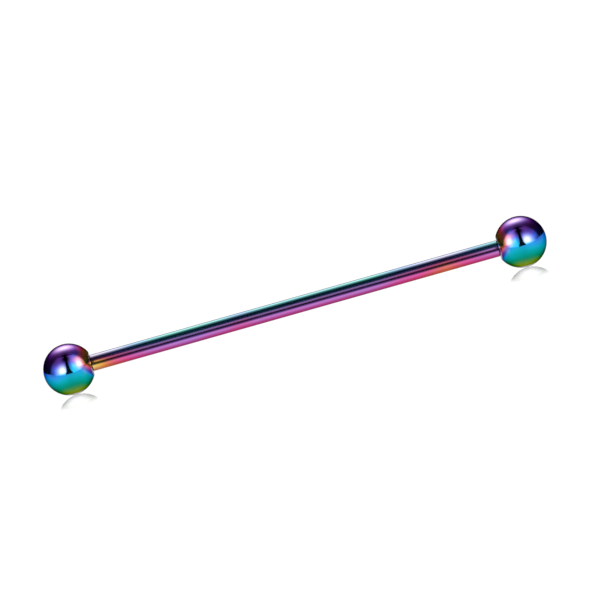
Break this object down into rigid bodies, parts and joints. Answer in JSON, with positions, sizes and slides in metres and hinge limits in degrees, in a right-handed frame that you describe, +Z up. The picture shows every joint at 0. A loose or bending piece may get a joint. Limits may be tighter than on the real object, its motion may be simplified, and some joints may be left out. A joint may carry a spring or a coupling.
{
  "type": "industrial barbell",
  "caption": "Straight barbell body jewellery: a long smooth round bar with a screw-on ball at each end, worn through the upper ear.",
  "frame": {"origin": "on the surface that the barbell lies on, straight below the middle of the bar", "axes": "+X along the bar towards the right ball, +Z up from the surface"},
  "size_m": [0.05, 0.005, 0.005],
  "materials": {
    "bar_finish": "mirror-polished surgical steel with a rainbow interference coating, mostly violet, magenta and pink",
    "left_ball_finish": "mirror-polished surgical steel with a rainbow interference coating, blue, teal, green and purple",
    "right_ball_finish": "mirror-polished surgical steel with a rainbow interference coating, teal, blue, green and purple"
  },
  "bodies": {
    "bar": {"bar": "bar_finish"},
    "left_ball": {"left_ball": "left_ball_finish"},
    "right_ball": {"right_ball": "right_ball_finish"}
  },
  "joints": [
    {"name": "left_ball_off", "type": "slide", "parent": "bar", "child": "left_ball", "axis": [-1, 0, 0], "range_m": [0, 0.012]},
    {"name": "right_ball_off", "type": "slide", "parent": "bar", "child": "right_ball", "axis": [1, 0, 0], "range_m": [0, 0.012]}
  ]
}
